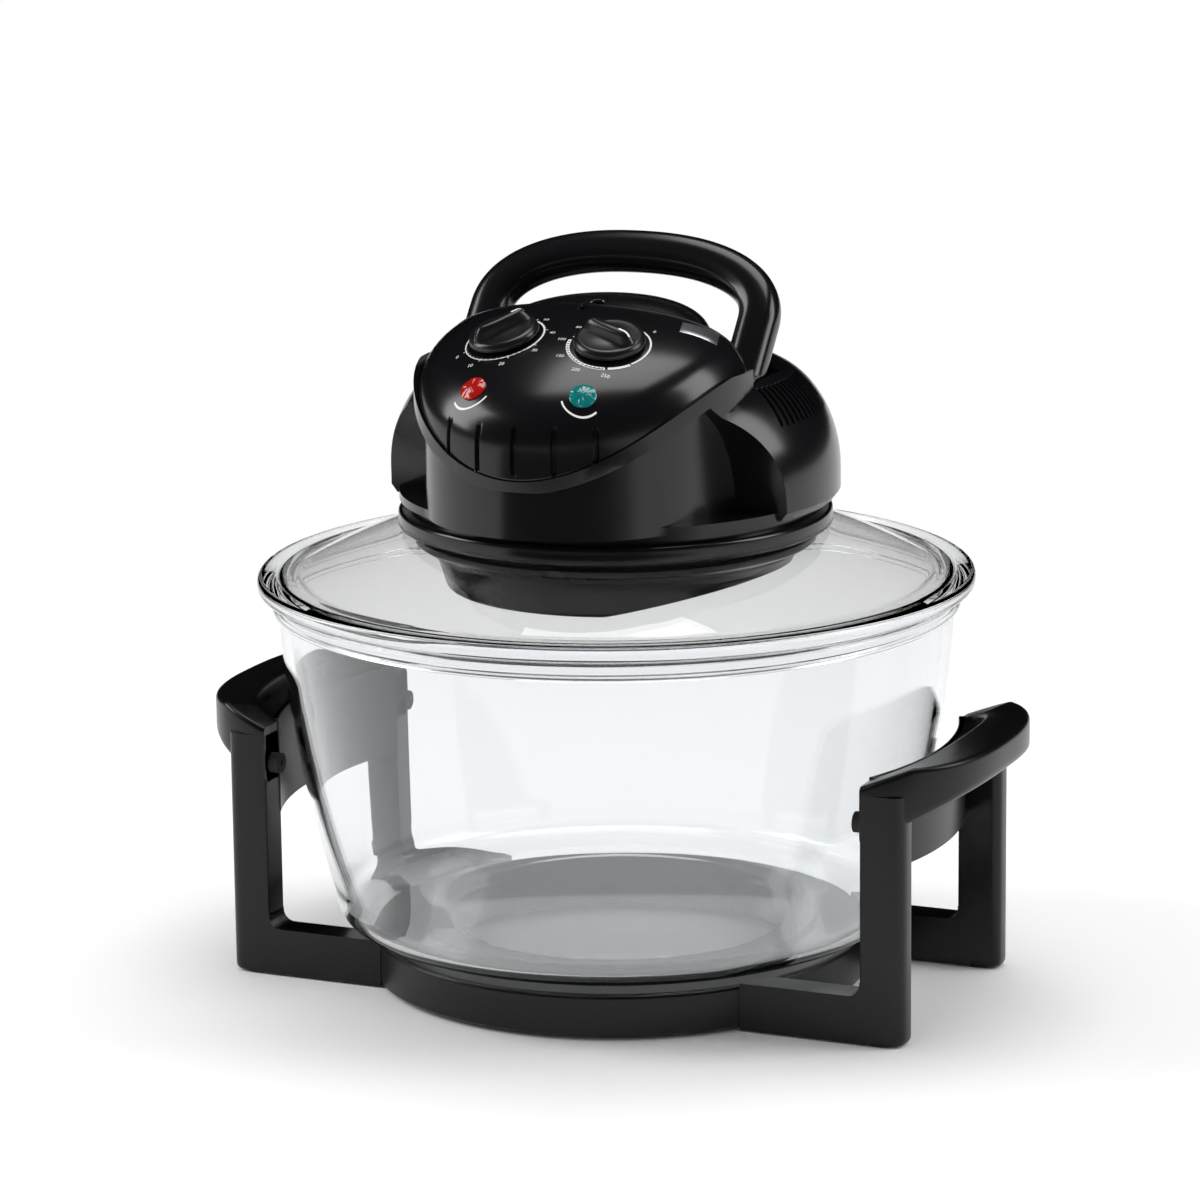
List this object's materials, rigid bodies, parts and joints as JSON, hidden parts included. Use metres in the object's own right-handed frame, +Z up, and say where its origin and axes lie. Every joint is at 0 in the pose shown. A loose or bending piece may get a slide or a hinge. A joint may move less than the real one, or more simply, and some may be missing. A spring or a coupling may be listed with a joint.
{
  "type": "halogen oven",
  "caption": "Countertop oven with a clear glass bowl on a black stand with side handles, and a lift-off glass lid carrying a round black heater and fan head with knobs and a carrying handle",
  "frame": {"origin": "on the table, in the middle between the four feet, where the axis of the glass bowl meets it", "axes": "+Z up along the bowl axis, -Y towards the user and the control panel, +X to the user's right towards the right side handle"},
  "size_m": [0.414, 0.35, 0.3636],
  "materials": {
    "stand_plastic": "satin black moulded plastic",
    "rubber": "black rubber",
    "screw_steel": "zinc-plated steel",
    "clear_glass": "clear tempered glass",
    "ring_metal": "black enamel",
    "head_plastic": "glossy black moulded plastic",
    "red_plastic": "clear-tinted red plastic",
    "green_plastic": "clear-tinted green plastic",
    "lamp_glass": "neon lamp glass",
    "plated_steel": "plated sheet steel",
    "knob_plastic": "satin black plastic",
    "switch_plastic": "dark red plastic",
    "plunger_plastic": "cream plastic",
    "reflector_aluminium": "polished aluminium",
    "tube_glass": "quartz glass",
    "ceramic": "unglazed ceramic",
    "guard_chrome": "chrome-plated steel",
    "fan_plastic": "black plastic"
  },
  "bodies": {
    "stand": {"base_ring": "stand_plastic", "side_frame_left": "stand_plastic", "side_frame_right": "stand_plastic", "bowl_buffers": "rubber", "stand_screws": "screw_steel", "rubber_feet": "rubber"},
    "bowl": {"glass_bowl": "clear_glass"},
    "lid": {"glass_lid": "clear_glass", "lid_gasket": "rubber", "clamp_ring": "ring_metal", "collar": "head_plastic", "main_housing": "head_plastic", "top_cover": "head_plastic", "control_panel": "head_plastic", "red_lens": "red_plastic", "green_lens": "green_plastic", "pilot_lamps": "lamp_glass", "timer_mechanism": "plated_steel", "thermostat": "plated_steel", "handle_pins": "screw_steel", "safety_switch": "switch_plastic", "heater_housing": "ring_metal", "reflector": "reflector_aluminium", "halogen_tube": "tube_glass", "tube_holders": "ceramic", "element_guard": "guard_chrome", "heat_shield": "plated_steel", "motor_bracket": "plated_steel", "motor": "plated_steel", "terminal_block": "plunger_plastic", "cord_gland": "rubber", "head_screws": "screw_steel"},
    "timer_dial": {"timer_knob": "knob_plastic", "timer_spindle": "plated_steel"},
    "temperature_dial": {"temperature_knob": "knob_plastic", "temperature_spindle": "plated_steel"},
    "handle": {"carry_handle": "head_plastic"},
    "plunger": {"switch_plunger": "plunger_plastic"},
    "rotor": {"motor_shaft": "screw_steel", "convection_fan": "reflector_aluminium", "cooling_fan": "fan_plastic"}
  },
  "joints": [
    {"name": "bowl_lift", "type": "slide", "parent": "stand", "child": "bowl", "axis": [0, 0, 1], "range_m": [0, 0.12]},
    {"name": "lid_lift", "type": "slide", "parent": "bowl", "child": "lid", "axis": [0, 0, 1], "range_m": [0, 0.15]},
    {"name": "timer_turn", "type": "hinge", "parent": "lid", "child": "timer_dial", "pos_m": [-0.027, -0.067, 0.3261], "axis": [-0.1022, -0.3408, 0.9346], "range_deg": [-300, 0]},
    {"name": "temperature_turn", "type": "hinge", "parent": "lid", "child": "temperature_dial", "pos_m": [0.027, -0.067, 0.3261], "axis": [0.1022, -0.3408, 0.9346], "range_deg": [-270, 0]},
    {"name": "handle_swing", "type": "hinge", "parent": "lid", "child": "handle", "pos_m": [0, -0.013, 0.2961], "axis": [1, 0, 0], "range_deg": [0, 40]},
    {"name": "plunger_slide", "type": "slide", "parent": "lid", "child": "plunger", "axis": [0, 0, 1], "range_m": [0, 0.0022]},
    {"name": "fan_spin", "type": "hinge", "parent": "lid", "child": "rotor", "pos_m": [0, 0, 0.23], "axis": [0, 0, 1], "continuous": true}
  ],
  "couplings": [
    {"joint": "plunger_slide", "follows": "handle_swing", "m_per_rad": 0.003}
  ]
}
